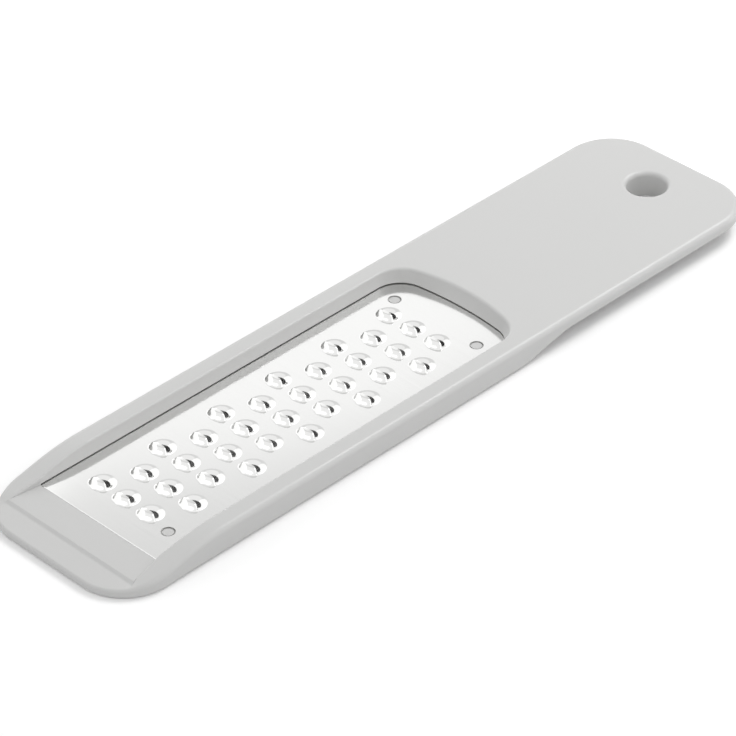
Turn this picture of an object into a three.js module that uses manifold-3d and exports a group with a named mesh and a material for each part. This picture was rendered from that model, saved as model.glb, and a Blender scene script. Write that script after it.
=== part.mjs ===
// Flat hand grater: a one-piece moulded plastic frame with a slim handle, holding a stamped
// stainless steel grating plate between its rails.
// Millimetres, +X towards the handle, +Z up. The origin lies under the middle of the grater,
// on the surface that its rails rest on.

import * as THREE from 'three';
import { mergeVertices } from 'three/addons/utils/BufferGeometryUtils.js';
import Module from 'manifold-3d';

// Frame, outside
const LENGTH = 225;
const WIDTH = 54;
const RAIL_HEIGHT = 7.2;
const HANDLE_THICKNESS = 3.6;
const CORNER_RADIUS = 14;
const TOP_FILLET = 1.6;
const BOTTOM_FILLET = 1.4;
const TOP_FILLET_SHARE = 0.45; // the most of the thickness that the rounded edge takes
const BOTTOM_FILLET_SHARE = 0.25;

// Front lip: its face rises gently from the front edge to the tray and then, steeper, up the rails
const LIP_LENGTH = 7.7;
const LIP_THICKNESS = 2.3;
const RAMP_SLOPE = 0.208;
const LIP_BLEND = 6;
const RAMP_BLEND = 14;

// Tray: the sunk area between the rails, open at the front
const TRAY_DEPTH = 4;
const RAIL_WIDTH = 6.2;
const SIDE_WALL_LEAN = 0.7;
const APRON_LENGTH = 8.9;
const VISIBLE_PLATE_LENGTH = 122.7;
const END_WALL_LEAN = 2.4;
const END_WALL_BOW = 1.8;
const END_RIM_BOW = 4.4;
const TRAY_CORNER_RADIUS = 8;

// Underside: the opening below the plate, and the slope up to the thinner handle
const PLATE_LEDGE = 1.2;
const FRONT_LEDGE = 3;
const REAR_LEDGE = 3;
const GUSSET = 14;
const STEP_BEFORE_END_WALL = 3.3;
const STEP_LENGTH = 14.6;
const STEP_BLEND = 3;

// Hole to hang the grater up by, with a collar round it below the handle
const HANG_HOLE_DIAMETER = 10.8;
const HANG_HOLE_FROM_END = 14.8;
const HANG_HOLE_RIM = 0.8;
const COLLAR_HEIGHT = 2.8;
const COLLAR_WALL = 2;

// Grating plate, and the slot that the moulding leaves around its buried borders
const SHEET = 0.6;
const SIDE_BORDER = 2.2;
const REAR_BORDER = 3;
const PLATE_CORNER_RADIUS = 2;
const SLOT_CLEARANCE = 0.3;
const LOCATING_HOLE_DIAMETER = 3.6;
const LOCATING_HOLE_FROM_END = 9;
const LOCATING_HOLE_FROM_RAIL = 6.3;

// Teeth: a flat-topped hood whose crest cuts towards the handle, and a scoop behind its opening
const TOOTH_PITCH = 8.6;
const ROW_PITCH = 9.7;
const ROW_STAGGER = 2.15;
const TOOTH_RADIUS = 3.5;
const TOOTH_OPENING_RADIUS = 2.05;
const TOOTH_OPENING_LENGTH = 2.3;
const CREST_HEIGHT = 1.45;
const CREST_SETBACK = 0.7;
const CREST_SQUARENESS = 4; // 2 would be a half ellipse; more gives steeper ends and a flatter top
const HOOD_FLAT = 1; // level stretch in front of the crest
const SCOOP_DEPTH = 0.45;
const SCOOP_EASE = THREE.MathUtils.degToRad(50); // turn over which the scoop gets to its depth
const TEETH_FROM_RAIL = 5;
const TEETH_FROM_PLATE_FRONT = 10.9;
const TEETH_FROM_END_WALL = 14;

// Facets
const CORNER_STEPS = 8;
const BLEND_STEPS = 4;
const FILLET_STEPS = 2;
const HOLE_STEPS = 24;
const TOOTH_STEPS = 14;
const CREST_STEPS = 6;
const SLOPE_RINGS = 2;
const CUT_MARGIN = 2;
const MERGE_DISTANCE = 1e-5;

// Places that follow from the sizes above
const FRONT = -LENGTH / 2;
const END = LENGTH / 2;
const PLATE_TOP = RAIL_HEIGHT - TRAY_DEPTH;
const SEAT = PLATE_TOP - SHEET;
const HANDLE_BOTTOM = RAIL_HEIGHT - HANDLE_THICKNESS;
const COLLAR_BOTTOM = HANDLE_BOTTOM - COLLAR_HEIGHT;
const LIP_SLOPE = (PLATE_TOP - LIP_THICKNESS) / LIP_LENGTH;
const LIP_END = FRONT + LIP_LENGTH;
const RAMP_TOP = LIP_END + TRAY_DEPTH / RAMP_SLOPE;
const PLATE_FRONT = LIP_END + APRON_LENGTH;
const END_WALL = PLATE_FRONT + VISIBLE_PLATE_LENGTH;
const STEP_START = END_WALL - STEP_BEFORE_END_WALL;
const STEP_END = STEP_START + STEP_LENGTH;
const TRAY_HALF = WIDTH / 2 - RAIL_WIDTH;
const PLATE_HALF = TRAY_HALF + SIDE_BORDER;
const PLATE_REAR = END_WALL + REAR_BORDER;

const wasm = await Module();
wasm.setup();

// Geometry with shared vertices and without the sliver faces that a lathe leaves on its axis.
function closed(geometry) {
  const bare = geometry.clone();
  bare.deleteAttribute('normal');
  bare.deleteAttribute('uv');
  const merged = mergeVertices(bare, MERGE_DISTANCE);
  const kept = [];
  for (let i = 0; i < merged.index.count; i += 3) {
    const [a, b, c] = merged.index.array.slice(i, i + 3);
    if (a !== b && b !== c && c !== a) kept.push(a, b, c);
  }
  merged.setIndex(kept);
  return merged;
}

function toSolid(geometry) {
  const { attributes, index } = closed(geometry);
  return new wasm.Manifold(new wasm.Mesh({
    numProp: 3,
    vertProperties: new Float32Array(attributes.position.array),
    triVerts: new Uint32Array(index.array),
  }));
}

function toGeometry(solid) {
  const mesh = solid.getMesh();
  const geometry = new THREE.BufferGeometry();
  geometry.setAttribute('position', new THREE.BufferAttribute(mesh.vertProperties, 3));
  geometry.setIndex(new THREE.BufferAttribute(mesh.triVerts, 1));
  geometry.computeVertexNormals();
  return geometry;
}

function meshGeometry(points, triangles) {
  const geometry = new THREE.BufferGeometry();
  geometry.setAttribute('position', new THREE.Float32BufferAttribute(points.flat(), 3));
  geometry.setIndex(triangles.flat());
  return geometry;
}

// Height gained at x from a change of slope at one place, rounded over the distance `blend`.
function bend(x, at, slopeChange, blend) {
  const t = THREE.MathUtils.clamp((x - at + blend / 2) / blend, 0, 1);
  const past = Math.max(x - at - blend / 2, 0);
  return slopeChange * (blend * t * t / 2 + past);
}

// Height of the frame's upper face: the lip, the ramp behind it, then the level rails and handle.
function topHeight(x) {
  const lip = LIP_THICKNESS + LIP_SLOPE * (x - FRONT);
  const steeper = bend(x, LIP_END, RAMP_SLOPE - LIP_SLOPE, LIP_BLEND);
  return lip + steeper + bend(x, RAMP_TOP, -RAMP_SLOPE, RAMP_BLEND);
}

// Height of the frame's lower face: level under the plate, then a slope up to the handle.
function bottomHeight(x) {
  const slope = HANDLE_BOTTOM / STEP_LENGTH;
  return bend(x, STEP_START, slope, STEP_BLEND) + bend(x, STEP_END, -slope, STEP_BLEND);
}

// Places along a bend that need a row of points.
function bendStations(at, blend) {
  return Array.from({ length: BLEND_STEPS + 1 }, (_, i) => at - blend / 2 + blend * i / BLEND_STEPS);
}

// One side of the plan outline, from the front edge round to the end of the handle.
// Each entry has its place and its outward direction.
function outlineSide() {
  const centreY = WIDTH / 2 - CORNER_RADIUS;
  const corner = (centreX, fromAngle) => Array.from({ length: CORNER_STEPS + 1 }, (_, i) => {
    const angle = fromAngle - (Math.PI / 2) * i / CORNER_STEPS;
    const out = new THREE.Vector2(Math.cos(angle), Math.sin(angle));
    return { at: new THREE.Vector2(centreX, centreY).addScaledVector(out, CORNER_RADIUS), out };
  });
  const frontCentre = FRONT + CORNER_RADIUS;
  const endCentre = END - CORNER_RADIUS;
  const stations = [
    ...bendStations(LIP_END, LIP_BLEND),
    ...bendStations(RAMP_TOP, RAMP_BLEND),
    ...bendStations(STEP_START, STEP_BLEND),
    ...bendStations(STEP_END, STEP_BLEND),
  ].filter((x) => x > frontCentre && x < endCentre);
  return [
    ...corner(frontCentre, Math.PI),
    ...stations.map((x) => ({ at: new THREE.Vector2(x, WIDTH / 2), out: new THREE.Vector2(0, 1) })),
    ...corner(endCentre, Math.PI / 2),
  ];
}

// Radius of the rounded upper or lower edge, where the frame has this thickness.
function filletRadius(edge, thickness) {
  return edge === 'top'
    ? Math.min(TOP_FILLET, TOP_FILLET_SHARE * thickness)
    : Math.min(BOTTOM_FILLET, BOTTOM_FILLET_SHARE * thickness);
}

// A point of the frame's outer skin: `angle` turns through the rounded edge, from the lower
// face or from the side wall to the upper face.
function skinPoint({ at, out }, { edge, angle }) {
  const radius = filletRadius(edge, topHeight(at.x) - bottomHeight(at.x));
  const isTop = edge === 'top';
  const drawnIn = radius * (1 - (isTop ? Math.cos(angle) : Math.sin(angle)));
  const x = at.x - out.x * drawnIn;
  const y = at.y - out.y * drawnIn;
  const z = isTop
    ? topHeight(x) - radius * (1 - Math.sin(angle))
    : bottomHeight(x) + radius * (1 - Math.cos(angle));
  return [x, y, z];
}

// The frame before it is cut: rings of points stacked from the lower face to the upper one,
// drawn in at the rounded edges. Both faces are strips across the grater.
function frameBlank() {
  const side = outlineSide();
  const mirrored = side.map(({ at, out }) => ({
    at: new THREE.Vector2(at.x, -at.y),
    out: new THREE.Vector2(out.x, -out.y),
  }));
  const outline = [...mirrored, ...side.slice().reverse()];
  const count = outline.length;
  const quarterTurn = Array.from(
    { length: FILLET_STEPS + 1 },
    (_, i) => (Math.PI / 2) * i / FILLET_STEPS,
  );
  const levels = ['bottom', 'top'].flatMap((edge) => quarterTurn.map((angle) => ({ edge, angle })));
  const points = levels.flatMap((level) => outline.map((place) => skinPoint(place, level)));
  const triangles = [];
  for (let level = 0; level + 1 < levels.length; level++) {
    for (let i = 0; i < count; i++) {
      const a = level * count + i;
      const b = level * count + (i + 1) % count;
      triangles.push([a, b, b + count], [a, b + count, a + count]);
    }
  }
  const upper = (levels.length - 1) * count;
  for (let i = 0; i + 1 < side.length; i++) {
    const [a, b, c, d] = [i, i + 1, count - 2 - i, count - 1 - i];
    triangles.push([a, c, b], [a, d, c]);
    triangles.push([upper + a, upper + b, upper + c], [upper + a, upper + c, upper + d]);
  }
  return meshGeometry(points, triangles);
}

// Plan outline of the tray at one height: open at the front, with a bowed end wall whose
// corners are rounded. `bow` is how far the wall's middle lies behind its ends.
function trayOutline(halfWidth, endWall, bow) {
  const bowRadius = (halfWidth * halfWidth + bow * bow) / (2 * bow);
  const bowCentre = endWall - bowRadius;
  const cornerY = halfWidth - TRAY_CORNER_RADIUS;
  const cornerX = bowCentre + Math.sqrt((bowRadius - TRAY_CORNER_RADIUS) ** 2 - cornerY ** 2);
  const cornerEnd = Math.atan2(cornerY, cornerX - bowCentre);
  const half = [new THREE.Vector2(FRONT - CUT_MARGIN, halfWidth)];
  for (let i = 0; i <= CORNER_STEPS; i++) {
    const angle = THREE.MathUtils.lerp(Math.PI / 2, cornerEnd, i / CORNER_STEPS);
    half.push(new THREE.Vector2(
      cornerX + TRAY_CORNER_RADIUS * Math.cos(angle),
      cornerY + TRAY_CORNER_RADIUS * Math.sin(angle),
    ));
  }
  for (let i = 1; i < CORNER_STEPS; i++) {
    const angle = THREE.MathUtils.lerp(cornerEnd, 0, i / CORNER_STEPS);
    half.push(new THREE.Vector2(bowCentre + bowRadius * Math.cos(angle), bowRadius * Math.sin(angle)));
  }
  const mirrored = half.map((p) => new THREE.Vector2(p.x, -p.y));
  return [...mirrored, new THREE.Vector2(endWall, 0), ...half.reverse()];
}

// Space cut out above the plate. Its walls lean out on the way up, the end wall most of all.
function trayCutter() {
  const raised = 1 + CUT_MARGIN / TRAY_DEPTH;
  const lower = trayOutline(TRAY_HALF, END_WALL, END_WALL_BOW);
  const upper = trayOutline(
    TRAY_HALF + SIDE_WALL_LEAN * raised,
    END_WALL + END_WALL_LEAN * raised,
    THREE.MathUtils.lerp(END_WALL_BOW, END_RIM_BOW, raised),
  );
  const count = lower.length;
  const points = [
    ...lower.map((p) => [p.x, p.y, PLATE_TOP]),
    ...upper.map((p) => [p.x, p.y, RAIL_HEIGHT + CUT_MARGIN]),
  ];
  const triangles = [];
  for (let i = 0; i < count; i++) {
    const next = (i + 1) % count;
    triangles.push([i, next, next + count], [i, next + count, i + count]);
  }
  for (const [a, b, c] of THREE.ShapeUtils.triangulateShape(lower, [])) {
    triangles.push([a, c, b], [a + count, b + count, c + count]);
  }
  return meshGeometry(points, triangles);
}

function roundedRectangle(fromX, toX, halfWidth, radius) {
  const shape = new THREE.Shape();
  shape.absarc(toX - radius, halfWidth - radius, radius, 0, Math.PI / 2);
  shape.absarc(fromX + radius, halfWidth - radius, radius, Math.PI / 2, Math.PI);
  shape.absarc(fromX + radius, -halfWidth + radius, radius, Math.PI, 1.5 * Math.PI);
  shape.absarc(toX - radius, -halfWidth + radius, radius, 1.5 * Math.PI, 2 * Math.PI);
  return shape;
}

function slab(shape, fromZ, toZ) {
  const options = { depth: toZ - fromZ, bevelEnabled: false, curveSegments: CORNER_STEPS };
  return new THREE.ExtrudeGeometry(shape, options).translate(0, 0, fromZ);
}

// Circles on the axes of the plate's locating holes. The first row of teeth, which is shifted
// towards +Y, leaves room for only one of them at the front.
function locatingCircles(radius) {
  const y = TRAY_HALF - LOCATING_HOLE_FROM_RAIL;
  const centres = [
    new THREE.Vector2(PLATE_FRONT + LOCATING_HOLE_FROM_END, -y),
    new THREE.Vector2(END_WALL - LOCATING_HOLE_FROM_END, -y),
    new THREE.Vector2(END_WALL - LOCATING_HOLE_FROM_END, y),
  ];
  return centres.map((centre) => Array.from({ length: HOLE_STEPS }, (_, i) => {
    const angle = 2 * Math.PI * i / HOLE_STEPS;
    return new THREE.Vector2(centre.x + radius * Math.cos(angle), centre.y + radius * Math.sin(angle));
  }));
}

// Slot that holds the plate: it rests on the ledge below and has clearance above and all round.
// The cutter leaves a round key standing for each locating hole, level with the plate.
function plateSlotCutter() {
  const shape = roundedRectangle(PLATE_FRONT - SLOT_CLEARANCE, PLATE_REAR + SLOT_CLEARANCE,
    PLATE_HALF + SLOT_CLEARANCE, PLATE_CORNER_RADIUS + SLOT_CLEARANCE);
  const keys = locatingCircles(LOCATING_HOLE_DIAMETER / 2 - SLOT_CLEARANCE);
  shape.holes = keys.map((key) => new THREE.Path(key));
  return slab(shape, SEAT, PLATE_TOP + SLOT_CLEARANCE);
}

// Opening under the plate, where the gratings fall out. Gussets carry the plate and the keys
// below its locating holes, in every corner but the one that has none.
function undersideCutter() {
  const front = PLATE_FRONT + FRONT_LEDGE;
  const rear = END_WALL - REAR_LEDGE;
  const half = TRAY_HALF - PLATE_LEDGE;
  const shape = new THREE.Shape([
    new THREE.Vector2(front + GUSSET, -half),
    new THREE.Vector2(rear - GUSSET, -half),
    new THREE.Vector2(rear, GUSSET - half),
    new THREE.Vector2(rear, half - GUSSET),
    new THREE.Vector2(rear - GUSSET, half),
    new THREE.Vector2(front, half),
    new THREE.Vector2(front, GUSSET - half),
  ]);
  return slab(shape, -CUT_MARGIN, PLATE_TOP);
}

// Round solid about the hanging hole's axis, from its profile of radius and height.
function aroundHangHole(profile) {
  return new THREE.LatheGeometry(profile, HOLE_STEPS)
    .rotateX(Math.PI / 2)
    .translate(END - HANG_HOLE_FROM_END, 0, 0);
}

function hangHoleCollar() {
  const radius = HANG_HOLE_DIAMETER / 2 + COLLAR_WALL;
  const withinHandle = HANDLE_BOTTOM + HANDLE_THICKNESS / 2;
  return aroundHangHole([
    new THREE.Vector2(0, COLLAR_BOTTOM),
    new THREE.Vector2(radius, COLLAR_BOTTOM),
    new THREE.Vector2(radius, withinHandle),
    new THREE.Vector2(0, withinHandle),
  ]);
}

// Hanging hole, with both rims rounded over.
function hangHoleCutter() {
  const mouth = HANG_HOLE_DIAMETER / 2 + HANG_HOLE_RIM;
  const rim = (face, inward) => Array.from({ length: FILLET_STEPS + 1 }, (_, i) => {
    const angle = (Math.PI / 2) * i / FILLET_STEPS;
    return new THREE.Vector2(
      mouth - HANG_HOLE_RIM * Math.cos(angle),
      face + inward * HANG_HOLE_RIM * (1 - Math.sin(angle)),
    );
  });
  return aroundHangHole([
    new THREE.Vector2(0, COLLAR_BOTTOM - CUT_MARGIN),
    new THREE.Vector2(mouth, COLLAR_BOTTOM - CUT_MARGIN),
    ...rim(COLLAR_BOTTOM, 1).reverse(),
    ...rim(RAIL_HEIGHT, -1),
    new THREE.Vector2(mouth, RAIL_HEIGHT + CUT_MARGIN),
    new THREE.Vector2(0, RAIL_HEIGHT + CUT_MARGIN),
  ]);
}

function frameGeometry() {
  const cutters = [trayCutter(), plateSlotCutter(), undersideCutter(), hangHoleCutter()];
  const blank = toSolid(frameBlank()).add(toSolid(hangHoleCollar()));
  return toGeometry(cutters.reduce((solid, cutter) => solid.subtract(toSolid(cutter)), blank));
}

// Distance along a ray from (fromX, 0) to a circle round the origin.
function rayToCircle(fromX, angle, radius) {
  return -fromX * Math.cos(angle) + Math.sqrt(radius ** 2 - (fromX * Math.sin(angle)) ** 2);
}

// One tooth as lines from its round foot in to the edge of its opening. The opening is round
// towards the handle and straight under the crest, which arches up between its corners.
// Each line has its plan points on the foot and on the opening, and the edge's height.
function toothLines() {
  const middle = TOOTH_OPENING_LENGTH / 2 - CREST_SETBACK;
  const squash = TOOTH_OPENING_LENGTH / (TOOTH_OPENING_RADIUS + CREST_SETBACK);
  const crestHalf = Math.sqrt(TOOTH_OPENING_RADIUS ** 2 - CREST_SETBACK ** 2);
  const cornerTurn = Math.atan2(crestHalf, -CREST_SETBACK);
  const rearSteps = TOOTH_STEPS - CREST_STEPS;
  const rearEdge = Array.from({ length: rearSteps }, (_, i) => {
    const turn = cornerTurn * (2 * i / rearSteps - 1);
    const fromCrest = TOOTH_OPENING_RADIUS * Math.cos(turn) + CREST_SETBACK;
    const share = THREE.MathUtils.clamp((cornerTurn - Math.abs(turn)) / SCOOP_EASE, 0, 1);
    return {
      edge: new THREE.Vector2(squash * fromCrest - CREST_SETBACK, TOOTH_OPENING_RADIUS * Math.sin(turn)),
      height: -SCOOP_DEPTH * Math.sin(share * Math.PI / 2),
    };
  });
  const crest = Array.from({ length: CREST_STEPS }, (_, i) => {
    const across = Math.cos(Math.PI * i / CREST_STEPS);
    const rest = 1 - Math.abs(across) ** CREST_SQUARENESS;
    return {
      edge: new THREE.Vector2(-CREST_SETBACK, crestHalf * across),
      height: CREST_HEIGHT * rest ** (1 / CREST_SQUARENESS),
    };
  });
  return [...rearEdge, ...crest].map(({ edge, height }) => {
    const angle = Math.atan2(edge.y, edge.x - middle);
    const reach = rayToCircle(middle, angle, TOOTH_RADIUS);
    const foot = new THREE.Vector2(middle + reach * Math.cos(angle), reach * Math.sin(angle));
    return { foot, edge, height };
  });
}

// How far each ring of a tooth lies from the foot to the edge: the hood's slope, then its flat top.
function toothRingShares() {
  const slope = 1 - HOOD_FLAT / (TOOTH_RADIUS - CREST_SETBACK);
  return [...Array.from({ length: SLOPE_RINGS + 1 }, (_, i) => slope * i / SLOPE_RINGS), 1];
}

// Centres of all teeth, as many as fit between the rails and along the visible plate.
function toothCentres() {
  const roomAcross = 2 * (TRAY_HALF - TEETH_FROM_RAIL - ROW_STAGGER);
  const roomAlong = VISIBLE_PLATE_LENGTH - TEETH_FROM_PLATE_FRONT - TEETH_FROM_END_WALL;
  const columns = Math.floor(roomAcross / TOOTH_PITCH);
  const rows = 1 + Math.floor(roomAlong / ROW_PITCH);
  const centres = [];
  for (let row = 0; row < rows; row++) {
    const shift = row % 2 === 0 ? ROW_STAGGER : -ROW_STAGGER;
    for (let column = 0; column < columns; column++) {
      centres.push(new THREE.Vector2(
        PLATE_FRONT + TEETH_FROM_PLATE_FRONT + row * ROW_PITCH,
        (column - (columns - 1) / 2) * TOOTH_PITCH + shift,
      ));
    }
  }
  return centres;
}

// The stamped sheet: a flat part with round gaps, and a raised tooth in each tooth's gap.
// Every upper face has its copy on the lower side, one sheet thickness below.
function plateGeometry() {
  const corners = [];
  const addSheet = (a, b, c) => {
    corners.push(...[a, b, c].map(([x, y, z]) => [x, y, PLATE_TOP + z]));
    corners.push(...[a, c, b].map(([x, y, z]) => [x, y, SEAT + z]));
  };
  const addEdge = (from, to) => {
    const lower = ([x, y, z]) => [x, y, SEAT + z];
    const upper = ([x, y, z]) => [x, y, PLATE_TOP + z];
    corners.push(lower(from), lower(to), upper(to), lower(from), upper(to), upper(from));
  };
  const addEdgeLoop = (loop) => {
    loop.forEach((from, i) => addEdge(from, loop[(i + 1) % loop.length]));
  };
  const level = (p) => [p.x, p.y, 0];

  const lines = toothLines();
  const centres = toothCentres();
  const border = roundedRectangle(PLATE_FRONT, PLATE_REAR, PLATE_HALF, PLATE_CORNER_RADIUS)
    .extractPoints(CORNER_STEPS).shape;
  const isApart = (p, q) => p.distanceTo(q) > MERGE_DISTANCE;
  const outline = border.filter((p, i) => isApart(p, border[(i + 1) % border.length]));
  const holes = locatingCircles(LOCATING_HOLE_DIAMETER / 2);
  const feet = centres.map((centre) => lines.map(({ foot }) => foot.clone().add(centre)));
  const gaps = [...holes, ...feet];
  const flat = [outline, ...gaps].flat();
  for (const [a, b, c] of THREE.ShapeUtils.triangulateShape(outline, gaps)) {
    addSheet(level(flat[a]), level(flat[b]), level(flat[c]));
  }
  addEdgeLoop(outline.map(level));
  holes.forEach((hole) => addEdgeLoop(hole.map(level).reverse()));

  const shares = toothRingShares();
  const slopeEnd = shares.at(-2);
  for (const centre of centres) {
    const rings = shares.map((share) => {
      const rise = Math.sin(Math.min(share / slopeEnd, 1) * Math.PI / 2);
      const fall = 1 - Math.cos(share * Math.PI / 2);
      return lines.map(({ foot, edge, height }) => {
        const p = foot.clone().lerp(edge, share).add(centre);
        return [p.x, p.y, height * (height > 0 ? rise : fall)];
      });
    });
    for (let ring = 0; ring + 1 < rings.length; ring++) {
      for (let i = 0; i < lines.length; i++) {
        const next = (i + 1) % lines.length;
        addSheet(rings[ring][i], rings[ring][next], rings[ring + 1][next]);
        addSheet(rings[ring][i], rings[ring + 1][next], rings[ring + 1][i]);
      }
    }
    addEdgeLoop(rings.at(-1).slice().reverse());
  }
  const geometry = new THREE.BufferGeometry();
  geometry.setAttribute('position', new THREE.Float32BufferAttribute(corners.flat(), 3));
  return closed(geometry);
}

function part(name, geometry, finish) {
  const mesh = new THREE.Mesh(geometry, new THREE.MeshStandardMaterial(finish));
  mesh.name = name;
  return mesh;
}

const grater = new THREE.Group();
grater.add(
  part('moulded_frame', frameGeometry(), { color: 0xcfd0cf, roughness: 0.45, metalness: 0 }),
  part('grating_plate', plateGeometry(), { color: 0xd4d5d6, roughness: 0.3, metalness: 1 }),
);

export default grater;
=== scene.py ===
import math

import bmesh
import bpy
import numpy as np
from mathutils import Matrix, Vector
from mathutils.geometry import delaunay_2d_cdt


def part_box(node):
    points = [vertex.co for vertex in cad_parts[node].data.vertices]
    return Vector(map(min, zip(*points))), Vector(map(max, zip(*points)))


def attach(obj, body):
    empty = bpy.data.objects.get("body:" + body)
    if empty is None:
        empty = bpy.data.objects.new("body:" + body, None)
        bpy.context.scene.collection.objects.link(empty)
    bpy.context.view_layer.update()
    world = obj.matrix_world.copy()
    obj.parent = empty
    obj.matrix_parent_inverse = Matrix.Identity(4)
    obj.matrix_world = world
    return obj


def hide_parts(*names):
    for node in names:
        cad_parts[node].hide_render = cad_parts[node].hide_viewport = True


# Flat hand grater: a moulded plastic frame with a slim handle, and a stamped, brushed steel plate
# between its rails. All sizes here are in millimetres, and become metres where Blender gets them.

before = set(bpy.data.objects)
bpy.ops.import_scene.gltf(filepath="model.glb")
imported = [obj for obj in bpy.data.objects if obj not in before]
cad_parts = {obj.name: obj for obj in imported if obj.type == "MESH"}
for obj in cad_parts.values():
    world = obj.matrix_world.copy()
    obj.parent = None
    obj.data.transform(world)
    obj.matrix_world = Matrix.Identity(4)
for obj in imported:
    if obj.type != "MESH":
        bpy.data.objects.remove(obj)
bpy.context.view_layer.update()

MM = 0.001

# Places taken from the frame, in millimetres
frame_low, frame_high = (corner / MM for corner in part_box("moulded_frame"))
plate_low, plate_high = (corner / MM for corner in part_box("grating_plate"))
FRONT, END = frame_low.x, frame_high.x
HALF_WIDTH = frame_high.y
RAIL_TOP = frame_high.z
PLATE_FRONT, PLATE_REAR = plate_low.x, plate_high.x
PLATE_HALF = plate_high.y

# Moulded frame
CORNER_RADIUS = 14.0
TOP_FILLET = 1.6
BOTTOM_FILLET = 1.4
BOTTOM_FILLET_SHARE = 0.25  # the most of the thickness that the lower rounding takes
HANDLE_THICKNESS = 3.6
LIP_HEIGHT = 2.25  # upper face at the front edge
LIP_WALL = 1.5  # upright part of the front edge
LIP_WALL_BLEND = 0.3  # softens where the side wall starts to follow the ramps
LIP_BLEND = 1.5  # length of the bend from the lip into the ramps
LIP_STEP = 0.6  # rise from the lip to the apron
RAMP_BEFORE_APRON = 2.5  # how far in front of the apron the ramps on both sides start
RAMP_LENGTH = 19.2  # behind the apron's front edge
RAMP_BLEND = 14.0  # length of the bend from the ramps into the level rails
STEP_BEFORE_END_WALL = 3.3  # where the lower face starts to slope up to the handle
STEP_LENGTH = 14.6
STEP_BLEND = 5.0

# Tray between the rails: the plate is its floor, with a level apron in front of the plate
TRAY_HALF = 20.8
TRAY_FLARE = 1.4  # how much wider the tray is at its open front, on each side
APRON_LENGTH = 8.9
APRON_EDGE_BEVEL = 1.0  # length of the slope between the lip and the apron
APRON_EDGE_FILLET = 0.3
APRON_SIDE_BEVEL = 0.5  # lean of the sides at the open front
APRON_DROP = 0.15  # of the apron, below the plate
END_WALL_FROM_PLATE_REAR = 3.0
SIDE_WALL_LEAN = 0.7
LEAST_LEAN = 0.05  # share of the lean that the lowest walls have
END_WALL_LEAN = 2.4
END_WALL_BOW = 1.8
END_RIM_BOW = 4.4
TRAY_CORNER_RADIUS = 8.0
SIDE_RIM_FILLET = 0.6
END_RIM_FILLET = 0.8
FILLET_WALL_SHARE = 0.7  # the most of a wall's height that its rim's rounding takes

# Opening below the plate, and the slot for the plate's borders
SIDE_LEDGE = 1.2
END_LEDGE = 3.0
GUSSET = 14.0
OPENING_EDGE = 0.4  # bevel of the opening's lower edge
SLOT_FIT = 0.02
SLOT_GAP = 0.3  # above the plate's borders
KEY_CLEARANCE = 0.42  # between a key and the hole that it stands in

# Hanging hole
HANG_HOLE_RADIUS = 5.4
HANG_HOLE_FROM_END = 14.8
HANG_HOLE_RIM = 1.3  # rounding at the upper end of the bore
COLLAR_HEIGHT = 3.55
COLLAR_WALL = 2.0
COLLAR_EDGE = 0.5
BORE_EDGE = 0.12  # rounding at the lower end of the bore

# Grating plate
SHEET = 0.6
PLATE_CORNER_RADIUS = 2.0
PLATE_BEVEL = 0.12
LOCATING_HOLE_RADIUS = 1.8
LOCATING_HOLE_FROM_END = 9.0
LOCATING_HOLE_FROM_RAIL = 6.3
TEETH_ACROSS = 3
TEETH_ROWS = 11
TOOTH_PITCH = 8.6
ROW_PITCH = 9.7
ROW_STAGGER = 2.15
TEETH_FROM_PLATE_FRONT = 10.9
TOOTH_RADIUS = 3.5
TOOTH_OPENING_RADIUS = 2.05
CREST_HEIGHT = 1.45
CREST_SETBACK = 0.7
OPENING_LENGTH = 2.3  # from the crest back
CREST_SQUARENESS = 4.0  # 2 would be a half ellipse; more gives steeper ends and a flatter top
HOOD_FLAT = 1.0  # level stretch in front of the crest
SCOOP_DEPTH = 0.45  # how far the rear edge of the opening is pressed down
SCOOP_EASE = 50.0  # degrees round the opening over which the scoop gets to its depth
EDGE_THICKNESS = 0.3  # of the sheet round the opening
FOOT_MARGIN = 0.25  # flat ring round each tooth, which ends the curve of its foot
FOOT_SOFTNESS = 0.12  # share of the tooth's slope that eases out of the flat sheet

# How finely round shapes are divided
LOOP_SPACING = 2.0
CORNER_STEPS = 24
FILLET_STEPS = 8
WALL_STEPS = 4
SIDE_STEPS = (6, 12, 40)  # along the apron, the ramp and the level rails
END_WALL_STEPS = 24
HOLE_STEPS = 64
SLOPE_STEPS = 16
CREST_STEPS = 24
TOOTH_REAR_STEPS = 32
TOOTH_RINGS = 12
RING_CROWDING = 1.5  # more than 1 sets a tooth's rings closer towards its foot
SHARP_ANGLE = 38.0
WELD = 0.002
INSIDE_OUTLINES = 1  # kind of triangulation that keeps only what the outlines enclose

# Places that follow from the sizes above
PLATE_TOP = plate_high.z - CREST_HEIGHT
SEAT = PLATE_TOP - SHEET
APRON = PLATE_TOP - APRON_DROP
LIP_END = APRON - LIP_STEP
HANDLE_BOTTOM = RAIL_TOP - HANDLE_THICKNESS
COLLAR_BOTTOM = HANDLE_BOTTOM - COLLAR_HEIGHT
CREASE = PLATE_FRONT - APRON_LENGTH
RAMP_SLOPE = (RAIL_TOP - APRON) / RAMP_LENGTH
RAMP_START = CREASE - RAMP_BEFORE_APRON
RAMP_TOP = CREASE + RAMP_LENGTH
LIP_SLOPE = (APRON - RAMP_SLOPE * RAMP_BEFORE_APRON - LIP_HEIGHT) / (RAMP_START - FRONT)
END_WALL = PLATE_REAR - END_WALL_FROM_PLATE_REAR
STEP_START = END_WALL - STEP_BEFORE_END_WALL
STEP_END = STEP_START + STEP_LENGTH
QUARTER_TURN = np.linspace(0, math.pi / 2, FILLET_STEPS + 1)

# Colours
PLASTIC_GREY = "#cfcfce"
STEEL_GREY = "#d6d6d5"
PAINT_WHITE = "#f4f4f4"
WHITE = "#ffffff"

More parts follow.
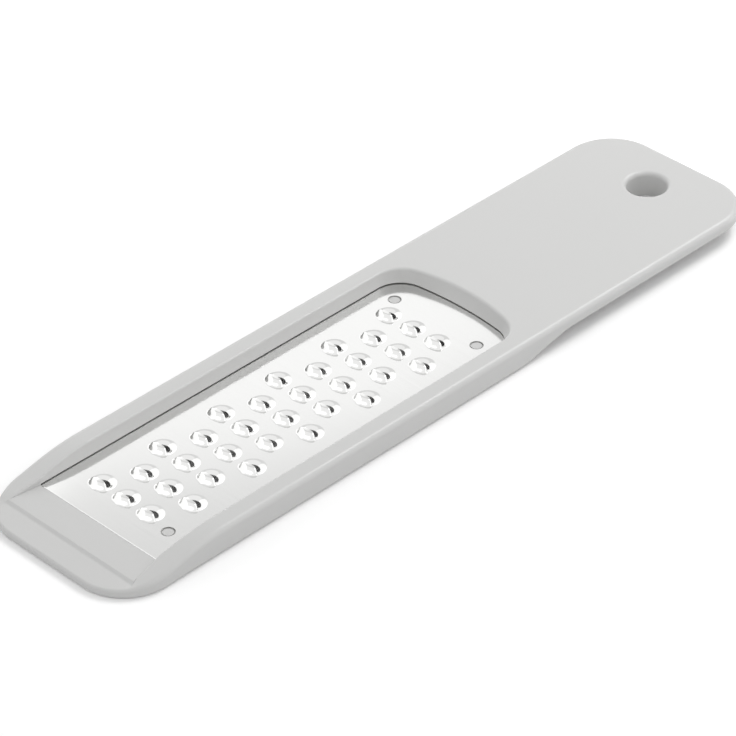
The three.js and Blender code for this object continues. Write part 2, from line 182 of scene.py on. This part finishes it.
NOISE_RANGE = (0.3, 0.7)  # nearly all values of a noise pattern lie in here

# Table
TABLE_HALF = 4000.0
TABLE_GLOW = 0.14  # added where the table lies open to the camera, so that it shows white
# Reach of the painted shade: occlusion within this distance dims the table's glow near and under
# the grater
PAINTED_SHADE_REACH = 60.0  # what stands nearer than this takes from the glow
TABLE_PLAIN_FROM = 300.0  # from this distance to the next, plain white takes over
TABLE_PLAIN_TO = 900.0

# Light of the white room on matt surfaces; 1 would be white paint fully lit
ROOM_LIGHT = 0.28

# Soft boxes: name, place, width and height, and watts
LAMPS = (
    ("overhead", (-390, -120, 1100), (2900, 2900), 5.1),
    ("front_softbox", (-920, -50, 320), (1700, 650), 1.45),
    ("rear_softbox", (520, -20, 640), (400, 400), 2.8),
    ("left_softbox", (-155, 877, 454), (2200, 950), 2.5),
    ("right_softbox", (483, -871, 575), (2800, 1200), 5.2),
    ("back_panel", (596, 783, 366), (700, 700), 0.5),
)

# Camera, from the photograph's perspective, and its aim on the plate; angles are in degrees
CAMERA_AZIMUTH = 45.91  # from -X towards -Y
CAMERA_ELEVATION = 35.82
CAMERA_ROLL = -1.23
CAMERA_DISTANCE = 954.4
CAMERA_AIM = Vector((-7.95, -1.79, 3.2))
CAMERA_LENS = 187.5
CAMERA_NEAREST = 10.0  # what is closer than this isn't shown
SENSOR_WIDTH = 36.0


def bend(x, at, slope_change, blend):
    """Height gained at x from a change of slope at one place, rounded over a distance."""
    share = np.clip((x - at) / blend + 0.5, 0, 1)
    past = np.maximum(x - at - blend / 2, 0)
    return slope_change * (blend * share**2 / 2 + past)


def top_height(x):
    """The frame's upper face: the lip, the steeper ramps, then the level rails and handle."""
    lip = LIP_HEIGHT + LIP_SLOPE * (x - FRONT)
    steeper = bend(x, RAMP_START, RAMP_SLOPE - LIP_SLOPE, LIP_BLEND)
    return lip + steeper + bend(x, RAMP_TOP, -RAMP_SLOPE, RAMP_BLEND)


def bottom_height(x):
    """The frame's lower face: level below the plate, then a slope up to the thinner handle."""
    slope = HANDLE_BOTTOM / STEP_LENGTH
    return bend(x, STEP_START, slope, STEP_BLEND) + bend(x, STEP_END, -slope, STEP_BLEND)


def wall_top(x):
    """Height at which the frame's side wall turns into its upper rounding."""
    below_top = top_height(x) - TOP_FILLET
    middle = (LIP_WALL + below_top) / 2
    return middle + np.hypot((LIP_WALL - below_top) / 2, LIP_WALL_BLEND)


def at_height(plan, height):
    """A plan outline lifted to one height, or to a height for each of its points."""
    return np.column_stack([plan, np.broadcast_to(height, len(plan))])


def arc(centre, radius, start, end, steps):
    """Points along an arc from one angle to another, in degrees, with both its ends."""
    angles = np.radians(np.linspace(start, end, steps + 1))
    return np.array(centre) + radius * np.column_stack([np.cos(angles), np.sin(angles)])


def straight(start, end, steps):
    """Points from start to just before end."""
    return np.linspace(start, end, steps, endpoint=False)


def spaced(loop, spacing):
    """The same closed outline, with further points on its long straight stretches."""
    stretches = []
    for start, end in zip(loop, np.roll(loop, -1, axis=0)):
        steps = max(1, math.ceil(np.linalg.norm(end - start) / spacing))
        stretches.append(straight(start, end, steps))
    return np.vstack(stretches)


def rounded_rectangle(low_x, high_x, half, radius):
    """Plan outline of a rectangle with round corners, which lies evenly on both sides of Y = 0."""
    corners = [
        arc((high_x - radius, radius - half), radius, -90, 0, CORNER_STEPS),
        arc((high_x - radius, half - radius), radius, 0, 90, CORNER_STEPS),
        arc((low_x + radius, half - radius), radius, 90, 180, CORNER_STEPS),
        arc((low_x + radius, radius - half), radius, 180, 270, CORNER_STEPS),
    ]
    return spaced(np.vstack(corners), LOOP_SPACING)


def circle(centre, radius):
    """Plan outline of a round hole."""
    return arc(centre, radius, 0, 360, HOLE_STEPS)[:-1]


def outward(loop):
    """Unit directions that point out of a closed outline at each of its points."""
    ahead = np.roll(loop, -1, axis=0) - loop
    ahead /= np.linalg.norm(ahead, axis=1, keepdims=True)
    tangent = ahead + np.roll(ahead, 1, axis=0)
    tangent /= np.linalg.norm(tangent, axis=1, keepdims=True)
    return np.column_stack([tangent[:, 1], -tangent[:, 0]])


def band(rings):
    """Faces between closed rings of equally many points."""
    count = len(rings[0])
    faces = []
    for start in range(0, (len(rings) - 1) * count, count):
        for i in range(count):
            j = (i + 1) % count
            faces.append((start + i, start + j, start + count + j, start + count + i))
    return np.vstack(rings), faces


def fill(loops, inner_points=()):
    """Triangles inside the first loop and outside the others, seen from above."""
    points = np.vstack([*loops, *inner_points])
    ends = np.cumsum([len(loop) for loop in loops])
    outlines = [list(range(end - len(loop), end)) for loop, end in zip(loops, ends)]
    plan = [Vector(point[:2]) for point in points]
    found = delaunay_2d_cdt(plan, [], outlines, INSIDE_OUTLINES, WELD / 2)
    _, _, triangles, point_sources, _, outlines_round = found
    faces = [
        [point_sources[corner][0] for corner in triangle]
        for triangle, inside in zip(triangles, outlines_round)
        if inside == [0]
    ]
    return points, faces


def add_object(name, data):
    """A new object in the scene."""
    made = bpy.data.objects.new(name, data)
    bpy.context.scene.collection.objects.link(made)
    return made


def mesh_object(name, patches):
    """One closed mesh from patches that meet at equal points."""
    shape = bmesh.new()
    for points, faces in patches:
        vertices = [shape.verts.new(point) for point in points * MM]
        for face in faces:
            shape.faces.new([vertices[corner] for corner in face])
    bmesh.ops.remove_doubles(shape, verts=shape.verts, dist=WELD * MM)
    bmesh.ops.dissolve_degenerate(shape, edges=shape.edges, dist=WELD * MM)
    bmesh.ops.delete(shape, geom=[v for v in shape.verts if not v.link_faces], context="VERTS")
    bmesh.ops.recalc_face_normals(shape, faces=shape.faces)
    mesh = bpy.data.meshes.new(name)
    shape.to_mesh(mesh)
    shape.free()
    return add_object(name, mesh)


def smooth(made):
    """Round surfaces are shaded smooth, flat ones stay flat and true edges stay sharp."""
    made.data.shade_smooth()
    made.data.set_sharp_from_angle(angle=math.radians(SHARP_ANGLE))
    weighted = made.modifiers.new("flat_faces_lead", "WEIGHTED_NORMAL")
    weighted.keep_sharp = True


def cut(made, cutter):
    """Takes the cutter's volume away from a piece, and removes the cutter."""
    difference = made.modifiers.new("cut", "BOOLEAN")
    difference.solver = "MANIFOLD"
    difference.object = cutter
    evaluated = made.evaluated_get(bpy.context.evaluated_depsgraph_get())
    result = bpy.data.meshes.new_from_object(evaluated)
    made.modifiers.clear()
    made.data = result
    bpy.data.objects.remove(cutter)


def skin_rings():
    """The outside of the frame, from the lower face round the side to the upper face."""
    plan = rounded_rectangle(FRONT, END, HALF_WIDTH, CORNER_RADIUS)
    out = outward(plan)
    x = plan[:, 0]
    thickness = top_height(x) - bottom_height(x)
    lower_radius = np.minimum(BOTTOM_FILLET, BOTTOM_FILLET_SHARE * thickness)
    upper_radius = top_height(x) - wall_top(x)
    rings = []
    for turn in QUARTER_TURN:
        inset = plan - out * (lower_radius * (1 - math.sin(turn)))[:, None]
        rise = lower_radius * (1 - math.cos(turn))
        rings.append(at_height(inset, bottom_height(inset[:, 0]) + rise))
    for turn in QUARTER_TURN:
        inset = plan - out * (upper_radius * (1 - math.cos(turn)))[:, None]
        drop = upper_radius * (1 - math.sin(turn))
        rings.append(at_height(inset, top_height(inset[:, 0]) - drop))
    return rings


def tray_plan(front, front_half, half, end, bow):
    """Plan outline of the tray at one level: straight sides that open out towards the front, a
    bowed end wall and round corners. The bow is how far the wall's middle lies behind its ends."""
    bow_radius = (half**2 + bow**2) / (2 * bow)
    bow_centre = end - bow_radius
    corner_y = half - TRAY_CORNER_RADIUS
    corner_x = bow_centre + math.sqrt((bow_radius - TRAY_CORNER_RADIUS) ** 2 - corner_y**2)
    turn = math.degrees(math.atan2(corner_y, corner_x - bow_centre))
    ramp_end = RAMP_TOP + RAMP_BLEND / 2
    places = [(front, front_half), (PLATE_FRONT, half), (ramp_end, half), (corner_x, half)]
    side = np.vstack([
        straight(start, end_place, steps)
        for start, end_place, steps in zip(places, places[1:], SIDE_STEPS)
    ])
    right = side * (1, -1)
    left = np.vstack([side, places[-1]])[::-1]
    return np.vstack([
        right,
        arc((corner_x, -corner_y), TRAY_CORNER_RADIUS, -90, -turn, CORNER_STEPS)[:-1],
        arc((bow_centre, 0), bow_radius, -turn, turn, END_WALL_STEPS)[:-1],
        arc((corner_x, corner_y), TRAY_CORNER_RADIUS, turn, 90, CORNER_STEPS)[:-1],
        left[:-1],
        straight((front, front_half), (front, -front_half), END_WALL_STEPS),
    ])


def tray_rings():
    """The tray's walls, from the floor up and round the rim to the frame's upper face. At the open
    front they are the short slope from the apron down to the lip."""
    floor = tray_plan(CREASE, TRAY_HALF + TRAY_FLARE, TRAY_HALF, END_WALL, END_WALL_BOW)
    full_rim = tray_plan(
        CREASE - APRON_EDGE_BEVEL,
        TRAY_HALF + TRAY_FLARE + APRON_SIDE_BEVEL,
        TRAY_HALF + SIDE_WALL_LEAN,
        END_WALL + END_WALL_LEAN,
        END_RIM_BOW,
    )
    at_front = floor[:, 0] <= CREASE + WELD

    def on_upper_face(plan):
        return at_height(plan, np.where(at_front, LIP_END, top_height(plan[:, 0])))

    wall_height = top_height(floor[:, 0]) - APRON
    lean = np.clip(wall_height / wall_height.max(), LEAST_LEAN, 1)
    lean[at_front] = 1
    rim_plan = floor + (full_rim - floor) * lean[:, None]
    out = outward(rim_plan)
    foot = at_height(floor, APRON)
    rim = on_upper_face(rim_plan)
    wall = np.linalg.norm(rim - foot, axis=1)
    fillet = SIDE_RIM_FILLET + (END_RIM_FILLET - SIDE_RIM_FILLET) * np.clip(out[:, 0], 0, 1)
    fillet[at_front] = APRON_EDGE_FILLET
    fillet = np.minimum(fillet, FILLET_WALL_SHARE * wall)
    from_wall = rim + (foot - rim) * (fillet / wall)[:, None]
    onto_face = on_upper_face(rim_plan + out * fillet[:, None])
    rings = [foot + (from_wall - foot) * share for share in np.linspace(0, 1, WALL_STEPS + 1)]
    for t in np.linspace(0, 1, FILLET_STEPS + 1)[1:]:
        rings.append((1 - t) ** 2 * from_wall + 2 * t * (1 - t) * rim + t**2 * onto_face)
    return rings


def hang_hole_rings():
    """The hanging hole, from the handle's lower face down the collar and up through the bore."""
    centre = (END - HANG_HOLE_FROM_END, 0)
    outside = HANG_HOLE_RADIUS + COLLAR_WALL
    profile = [
        (outside, HANDLE_BOTTOM),
        (outside, COLLAR_BOTTOM + COLLAR_EDGE),
        (outside - COLLAR_EDGE, COLLAR_BOTTOM),
    ]
    for turn in QUARTER_TURN:
        radius = HANG_HOLE_RADIUS + BORE_EDGE * (1 - math.sin(turn))
        profile.append((radius, COLLAR_BOTTOM + BORE_EDGE * (1 - math.cos(turn))))
    for turn in QUARTER_TURN:
        radius = HANG_HOLE_RADIUS + HANG_HOLE_RIM * (1 - math.cos(turn))
        profile.append((radius, RAIL_TOP - HANG_HOLE_RIM * (1 - math.sin(turn))))
    return [at_height(circle(centre, radius), height) for radius, height in profile]


def opening_rings():
    """The opening below the plate, from the lower face up to within the slot for the plate. Gussets
    fill its corners below the plate's locating holes."""
    front, rear = PLATE_FRONT + END_LEDGE, END_WALL - END_LEDGE
    half = TRAY_HALF - SIDE_LEDGE
    corners = np.array([
        (front + GUSSET, -half),
        (rear - GUSSET, -half),
        (rear, GUSSET - half),
        (rear, half - GUSSET),
        (rear - GUSSET, half),
        (front, half),
        (front, GUSSET - half),
    ])
    plan = spaced(corners, LOOP_SPACING)
    mouth = plan + outward(plan) * OPENING_EDGE
    return [
        at_height(mouth, bottom_height(mouth[:, 0])),
        at_height(plan, bottom_height(plan[:, 0]) + OPENING_EDGE),
        at_height(plan, (SEAT + PLATE_TOP) / 2),
    ]


def underside_points():
    """Points across the slope below the handle, which the lower face has to follow."""
    x = np.linspace(STEP_START - STEP_BLEND / 2, STEP_END + STEP_BLEND / 2, SLOPE_STEPS)
    y = np.linspace(-1, 1, SLOPE_STEPS) * (HALF_WIDTH - TOP_FILLET)
    grid_x, grid_y = (values.ravel() for values in np.meshgrid(x, y))
    return np.column_stack([grid_x, grid_y, bottom_height(grid_x)])


def locating_circles(radius):
    """Where keys of the moulding stand in holes of the plate and hold it in place."""
    y = TRAY_HALF - LOCATING_HOLE_FROM_RAIL
    near_front = PLATE_FRONT + LOCATING_HOLE_FROM_END
    near_end_wall = END_WALL - LOCATING_HOLE_FROM_END
    centres = [(near_front, -y), (near_end_wall, -y), (near_end_wall, y)]
    return [circle(centre, radius) for centre in centres]


def moulded_frame():
    """The frame as one closed skin, with the slot for the plate cut out of it round the keys."""
    skin = skin_rings()
    tray = tray_rings()
    hole = hang_hole_rings()
    opening = opening_rings()
    made = mesh_object("frame_moulding", [
        band(skin),
        band(tray),
        band(hole),
        band(opening),
        fill([skin[-1], tray[-1], hole[-1]]),
        fill([tray[0]]),
        fill([opening[-1]]),
        fill([skin[0], opening[0], hole[0]], [underside_points()]),
    ])
    slot = rounded_rectangle(
        PLATE_FRONT - SLOT_FIT, PLATE_REAR + SLOT_FIT, PLATE_HALF + SLOT_FIT, PLATE_CORNER_RADIUS
    )
    keys = locating_circles(LOCATING_HOLE_RADIUS - KEY_CLEARANCE)
    levels = (SEAT - SLOT_FIT, PLATE_TOP + SLOT_GAP)
    patches = [band([at_height(loop, level) for level in levels]) for loop in (slot, *keys)]
    patches += [fill([at_height(loop, level) for loop in (slot, *keys)]) for level in levels]
    cut(made, mesh_object("plate_slot", patches))
    smooth(made)
    return made


def ray_to_circle(from_x, direction, radius):
    """Distance along rays from (from_x, 0) to a circle round the origin."""
    along = from_x * direction[:, 0]
    return -along + np.sqrt(radius**2 - from_x**2 + along**2)


def opening_edge():
    """The edge of a tooth's opening in plan, and its height above the flat sheet. Its round rear is
    pressed down; in front it is the crest, straight in plan and arched with steep ends."""
    crest_half = math.sqrt(TOOTH_OPENING_RADIUS**2 - CREST_SETBACK**2)
    crest_end = math.degrees(math.atan2(crest_half, -CREST_SETBACK))
    rear_turn = straight(-crest_end, crest_end, TOOTH_REAR_STEPS)
    round_rear = arc((0, 0), TOOTH_OPENING_RADIUS, -crest_end, crest_end, TOOTH_REAR_STEPS)[:-1]
    squash = OPENING_LENGTH / (TOOTH_OPENING_RADIUS + CREST_SETBACK)
    rear = round_rear * (squash, 1) + (CREST_SETBACK * (squash - 1), 0)
    scoop = np.sin(np.pi / 2 * np.clip((crest_end - abs(rear_turn)) / SCOOP_EASE, 0, 1))
    crest_turn = straight(0, math.pi, CREST_STEPS)
    across = np.sign(np.cos(crest_turn)) * abs(np.cos(crest_turn)) ** (2 / CREST_SQUARENESS)
    arch = np.sin(crest_turn) ** (2 / CREST_SQUARENESS)
    crest = np.column_stack([np.full(CREST_STEPS, -CREST_SETBACK), crest_half * across])
    height = np.concatenate([-SCOOP_DEPTH * scoop, CREST_HEIGHT * arch])
    return np.vstack([rear, crest]), height


def tooth_rings():
    """One tooth, from the flat sheet round its foot in to the edge of its opening: the plan of each
    ring, its height above the sheet and the thickness there. In front the sheet is pressed up into
    a flat-topped hood, behind the opening it is pressed down."""
    edge, height = opening_edge()
    middle = np.array((OPENING_LENGTH / 2 - CREST_SETBACK, 0))
    direction = (edge - middle) / np.linalg.norm(edge - middle, axis=1, keepdims=True)
    foot = middle + direction * ray_to_circle(middle[0], direction, TOOTH_RADIUS)[:, None]
    slope_share = 1 - HOOD_FLAT / (TOOTH_RADIUS - CREST_SETBACK)
    full_ease = math.hypot(1, FOOT_SOFTNESS) - FOOT_SOFTNESS
    margin = foot * (1 + FOOT_MARGIN / TOOTH_RADIUS)
    rings = [(margin, np.zeros(len(margin)), SHEET)]
    for share in np.linspace(0, 1, TOOTH_RINGS + 1) ** RING_CROWDING:
        ease = math.hypot(min(share / slope_share, 1), FOOT_SOFTNESS) - FOOT_SOFTNESS
        rise = math.sin(math.pi / 2 * ease / full_ease)
        fall = 1 - math.cos(math.pi / 2 * share)
        level = np.where(height > 0, height * rise, height * fall)
        plan = foot + (edge - foot) * share
        rings.append((plan, level, SHEET + (EDGE_THICKNESS - SHEET) * share))
    return rings


def tooth_centres():
    """Middles of the teeth, in rows that are shifted to the left and to the right in turn."""
    centres = []
    for row in range(TEETH_ROWS):
        shift = ROW_STAGGER if row % 2 == 0 else -ROW_STAGGER
        for column in range(TEETH_ACROSS):
            y = (column - (TEETH_ACROSS - 1) / 2) * TOOTH_PITCH + shift
            centres.append((PLATE_FRONT + TEETH_FROM_PLATE_FRONT + row * ROW_PITCH, y))
    return centres


def grating_plate():
    """The plate as one closed skin: a bevelled sheet with locating holes and teeth. Its UV map runs
    along the grater and gives the brushing its direction."""
    outline = rounded_rectangle(PLATE_FRONT, PLATE_REAR, PLATE_HALF, PLATE_CORNER_RADIUS)
    holes = locating_circles(LOCATING_HOLE_RADIUS)
    rings = tooth_rings()
    centres = tooth_centres()
    feet = [rings[0][0] + centre for centre in centres]
    inset = outline - outward(outline) * PLATE_BEVEL
    border = [
        at_height(inset, PLATE_TOP),
        at_height(outline, PLATE_TOP - PLATE_BEVEL),
        at_height(outline, SEAT),
    ]
    patches = [
        fill([at_height(loop, PLATE_TOP) for loop in (inset, *holes, *feet)]),
        fill([at_height(loop, SEAT) for loop in (outline, *holes, *feet)]),
        band(border),
    ]
    for hole in holes:
        patches.append(band([at_height(hole, PLATE_TOP), at_height(hole, SEAT)]))
    for centre in centres:
        upper = [at_height(plan + centre, PLATE_TOP + rise) for plan, rise, _ in rings]
        lower = [at_height(plan + centre, PLATE_TOP + rise - gauge) for plan, rise, gauge in rings]
        patches += [band(upper), band(lower), band([upper[-1], lower[-1]])]
    made = mesh_object("grating_sheet", patches)
    smooth(made)
    grain = made.data.uv_layers.new(name="grain")
    corners = np.array([made.data.vertices[loop.vertex_index].co for loop in made.data.loops])
    grain.data.foreach_set("uv", corners[:, :2].ravel() / (PLATE_REAR - PLATE_FRONT) / MM)
    return made


def linear(hex_colour):
    """An sRGB colour such as #c0ffee as linear red, green, blue and alpha."""
    parts = [int(hex_colour[i : i + 2], 16) / 255 for i in (1, 3, 5)]
    return [p / 12.92 if p <= 0.04045 else ((p + 0.055) / 1.055) ** 2.4 for p in parts] + [1]


def add_node(tree, kind, settings=(), links=()):
    """Adds a node. A setting is a socket's value or a property of the node itself."""
    node = tree.nodes.new(kind)
    for name, value in dict(settings).items():
        if name in node.inputs:
            node.inputs[name].default_value = value
        else:
            setattr(node, name, value)
    for socket, source in dict(links).items():
        tree.links.new(source, node.inputs[socket])
    return node


def new_material(name):
    """A material without nodes, and its node tree."""
    material = bpy.data.materials.new(name)
    material.use_nodes = True
    material.node_tree.nodes.clear()
    return material, material.node_tree


def roughness_from(tree, noise, lowest, highest):
    """A roughness between two values that follows a noise pattern."""
    noise_low, noise_high = NOISE_RANGE
    spread = add_node(
        tree, "ShaderNodeMapRange",
        {"From Min": noise_low, "From Max": noise_high, "To Min": lowest, "To Max": highest},
        {"Value": noise.outputs["Fac"]},
    )
    return spread.outputs["Result"]


def relief_from(tree, noise, strength, depth):
    """A fine relief that follows a noise pattern, with its depth in millimetres."""
    relief = add_node(
        tree, "ShaderNodeBump", {"Strength": strength, "Distance": depth * MM},
        {"Height": noise.outputs["Fac"]},
    )
    return relief.outputs["Normal"]


def moulded_polypropylene():
    """Light grey polypropylene from a spark-eroded mould: an even, satin skin whose fine grain
    softens every highlight, a little glossier where the hand and the board rub it."""
    grain_width = 0.35  # a real spark grain is near 0.1 mm, drawn coarser so that it shows
    grain_depth = 0.004
    grain_strength = 0.5
    rubbed_width = 30
    rubbed_roughness, moulded_roughness = 0.3, 0.4
    material, tree = new_material("moulded_polypropylene")
    place = add_node(tree, "ShaderNodeTexCoord").outputs["Object"]
    grain = add_node(
        tree, "ShaderNodeTexNoise",
        {"Scale": 1 / (grain_width * MM), "Detail": 2.0, "Roughness": 0.6}, {"Vector": place},
    )
    rubbed = add_node(
        tree, "ShaderNodeTexNoise",
        {"Scale": 1 / (rubbed_width * MM), "Detail": 3.0}, {"Vector": place},
    )
    shader = add_node(
        tree, "ShaderNodeBsdfPrincipled", {"Base Color": linear(PLASTIC_GREY), "IOR": 1.49},
        {
            "Roughness": roughness_from(tree, rubbed, rubbed_roughness, moulded_roughness),
            "Normal": relief_from(tree, grain, grain_strength, grain_depth),
        },
    )
    add_node(tree, "ShaderNodeOutputMaterial", links={"Surface": shader.outputs["BSDF"]})
    return material


def brushed_stainless_steel():
    """Bright stainless sheet, brushed across its width: reflections stay clear along the brushing
    and are drawn out along the grater, with faint streaks from the single scratches."""
    scratch_width = 0.3  # real ones are near 0.03 mm, drawn wider so that they show
    scratch_length = 25
    scratch_depth = 0.002
    scratch_strength = 0.1
    smoothest, roughest = 0.09, 0.13
    material, tree = new_material("brushed_stainless_steel")
    place = add_node(tree, "ShaderNodeTexCoord").outputs["Object"]
    stretched = add_node(
        tree, "ShaderNodeVectorMath", {"operation": "MULTIPLY"}, {0: place},
    )
    stretched.inputs[1].default_value = [
        1 / (size * MM) for size in (scratch_width, scratch_length, scratch_length)
    ]
    scratches = add_node(
        tree, "ShaderNodeTexNoise", {"Scale": 1.0, "Detail": 3.0, "Roughness": 0.7},
        {"Vector": stretched.outputs["Vector"]},
    )
    along_grater = add_node(
        tree, "ShaderNodeTangent", {"direction_type": "UV_MAP", "uv_map": "grain"},
    )
    shader = add_node(
        tree, "ShaderNodeBsdfPrincipled",
        {"Base Color": linear(STEEL_GREY), "Metallic": 1.0, "Anisotropic": 0.7},
        {
            "Roughness": roughness_from(tree, scratches, smoothest, roughest),
            "Normal": relief_from(tree, scratches, scratch_strength, scratch_depth),
            "Tangent": along_grater.outputs["Tangent"],
        },
    )
    add_node(tree, "ShaderNodeOutputMaterial", links={"Surface": shader.outputs["BSDF"]})
    return material


def matt_white_paint():
    """Matt white paint, which keeps the grater's shadow. To the camera it is pure white with a
    slight glow in the open; occlusion takes that glow away near and under the grater, which paints
    shade there. Far from the grater it is plain white without any shading."""
    material, tree = new_material("matt_white_paint")
    to_camera = add_node(tree, "ShaderNodeLightPath").outputs["Is Camera Ray"]
    colour = add_node(tree, "ShaderNodeMix", {"data_type": "RGBA"}, {"Factor": to_camera})
    colour.inputs["A"].default_value = linear(PAINT_WHITE)
    colour.inputs["B"].default_value = linear(WHITE)
    paint = add_node(tree, "ShaderNodeBsdfDiffuse", links={"Color": colour.outputs["Result"]})
    lift = add_node(tree, "ShaderNodeMapRange", {"To Max": TABLE_GLOW}, {"Value": to_camera})
    # Occlusion takes the glow away where the grater covers the table: painted shade, darker under
    # and beside the grater
    painted_shade_mask = add_node(
        tree, "ShaderNodeAmbientOcclusion", {"Distance": PAINTED_SHADE_REACH * MM},
    )
    glow = add_node(
        tree, "ShaderNodeEmission",
        links={"Color": painted_shade_mask.outputs["Color"], "Strength": lift.outputs["Result"]},
    )
    near = add_node(
        tree, "ShaderNodeAddShader", links={0: paint.outputs["BSDF"], 1: glow.outputs["Emission"]},
    )
    place = add_node(tree, "ShaderNodeTexCoord").outputs["Object"]
    distance = add_node(tree, "ShaderNodeVectorMath", {"operation": "LENGTH"}, {0: place})
    far_share = add_node(
        tree, "ShaderNodeMapRange",
        {"From Min": TABLE_PLAIN_FROM * MM, "From Max": TABLE_PLAIN_TO * MM},
        {"Value": distance.outputs["Value"]},
    )
    seen_far = add_node(
        tree, "ShaderNodeMath", {"operation": "MULTIPLY"},
        {0: far_share.outputs["Result"], 1: to_camera},
    )
    far = add_node(tree, "ShaderNodeEmission", {"Color": linear(WHITE), "Strength": 1.0})
    shader = add_node(
        tree, "ShaderNodeMixShader",
        links={0: seen_far.outputs["Value"], 1: near.outputs["Shader"], 2: far.outputs["Emission"]},
    )
    add_node(tree, "ShaderNodeOutputMaterial", links={"Surface": shader.outputs["Shader"]})
    return material


def pale_floor():
    """A large white table below the grater."""
    half = TABLE_HALF * MM
    corners = [(-half, -half, 0), (half, -half, 0), (half, half, 0), (-half, half, 0)]
    mesh = bpy.data.meshes.new("table")
    mesh.from_pydata(corners, [], [(0, 1, 2, 3)])
    mesh.materials.append(matt_white_paint())
    table = add_object("table", mesh)


def studio_world():
    """A white room. Camera and reflections see it white; its light on matt surfaces is softer."""
    world = bpy.data.worlds.new("white_room")
    bpy.context.scene.world = world
    world.use_nodes = True
    tree = world.node_tree
    tree.nodes.clear()
    light_path = add_node(tree, "ShaderNodeLightPath")
    camera_or_gloss = add_node(
        tree, "ShaderNodeMath", {"operation": "MAXIMUM"},
        {0: light_path.outputs["Is Camera Ray"], 1: light_path.outputs["Is Glossy Ray"]},
    )
    seen = add_node(
        tree, "ShaderNodeMath", {"operation": "MAXIMUM"},
        {0: camera_or_gloss.outputs["Value"], 1: light_path.outputs["Is Transmission Ray"]},
    )
    strength = add_node(
        tree, "ShaderNodeMapRange", {"To Min": ROOM_LIGHT, "To Max": 1.0},
        {"Value": seen.outputs["Value"]},
    )
    background = add_node(
        tree, "ShaderNodeBackground", {"Color": linear(WHITE)},
        {"Strength": strength.outputs["Result"]},
    )
    add_node(tree, "ShaderNodeOutputWorld", links={"Surface": background.outputs["Background"]})


def soft_lamp(name, position, size, power):
    """An oval soft box that faces the middle of the grater: its place, its width and height in
    millimetres, and its watts."""
    light = bpy.data.lights.new(name, "AREA")
    light.shape = "ELLIPSE"
    light.size, light.size_y = (length * MM for length in size)
    light.energy = power
    lamp = add_object(name, light)
    lamp.location = Vector(position) * MM
    lamp.rotation_mode = "QUATERNION"
    lamp.rotation_quaternion = lamp.location.to_track_quat("Z", "Y")


def photograph_camera():
    """The camera of the photograph, turned to its aim and rolled a little."""
    azimuth, elevation = math.radians(CAMERA_AZIMUTH), math.radians(CAMERA_ELEVATION)
    back = Vector((
        -math.cos(elevation) * math.cos(azimuth),
        -math.cos(elevation) * math.sin(azimuth),
        math.sin(elevation),
    ))
    level_right = Vector((0, 0, 1)).cross(back).normalized()
    right = Matrix.Rotation(math.radians(CAMERA_ROLL), 3, back) @ level_right
    axes = Matrix((right, back.cross(right), back)).transposed()
    data = bpy.data.cameras.new("photograph")
    data.sensor_width = SENSOR_WIDTH
    data.lens = CAMERA_LENS
    data.clip_start = CAMERA_NEAREST * MM
    camera = add_object("photograph", data)
    place = CAMERA_AIM + back * CAMERA_DISTANCE
    camera.matrix_world = Matrix.Translation(place * MM) @ axes.to_4x4()
    bpy.context.scene.camera = camera


PIECES = (
    (moulded_frame, moulded_polypropylene, "moulded_frame", "frame_plastic"),
    (grating_plate, brushed_stainless_steel, "grating_plate", "plate_steel"),
)
for make_piece, make_material, node, slot in PIECES:
    piece = make_piece()
    piece.data.materials.clear()
    piece.data.materials.append(make_material())
    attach(piece, "root")
    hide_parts(node)

pale_floor()
studio_world()
for lamp_settings in LAMPS:
    soft_lamp(*lamp_settings)
photograph_camera()
bpy.context.scene.view_settings.view_transform = "Standard"
